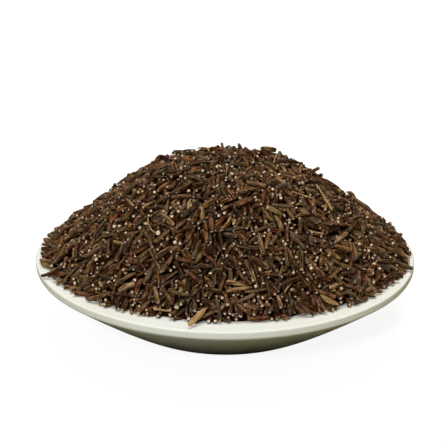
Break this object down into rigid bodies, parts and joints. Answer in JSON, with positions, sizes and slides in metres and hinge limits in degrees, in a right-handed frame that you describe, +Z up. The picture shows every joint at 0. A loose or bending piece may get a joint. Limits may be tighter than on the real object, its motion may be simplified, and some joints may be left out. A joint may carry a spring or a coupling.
{
  "type": "bowl of bitter cumin seeds",
  "caption": "Shallow round white glazed dish heaped high above its rim with slim, ribbed, dark brown spice seeds with pale ends.",
  "frame": {"origin": "middle of the dish's foot, on the surface that the dish stands on", "axes": "+Z up, the front of the heap, where more of the rim shows, is -Y, and +X is to its right"},
  "size_m": [0.104, 0.104, 0.0456],
  "materials": {
    "glaze": "gloss",
    "seed": "matte"
  },
  "bodies": {
    "root": {"bowl": "glaze", "seeds_heap": "seed"}
  },
  "joints": []
}
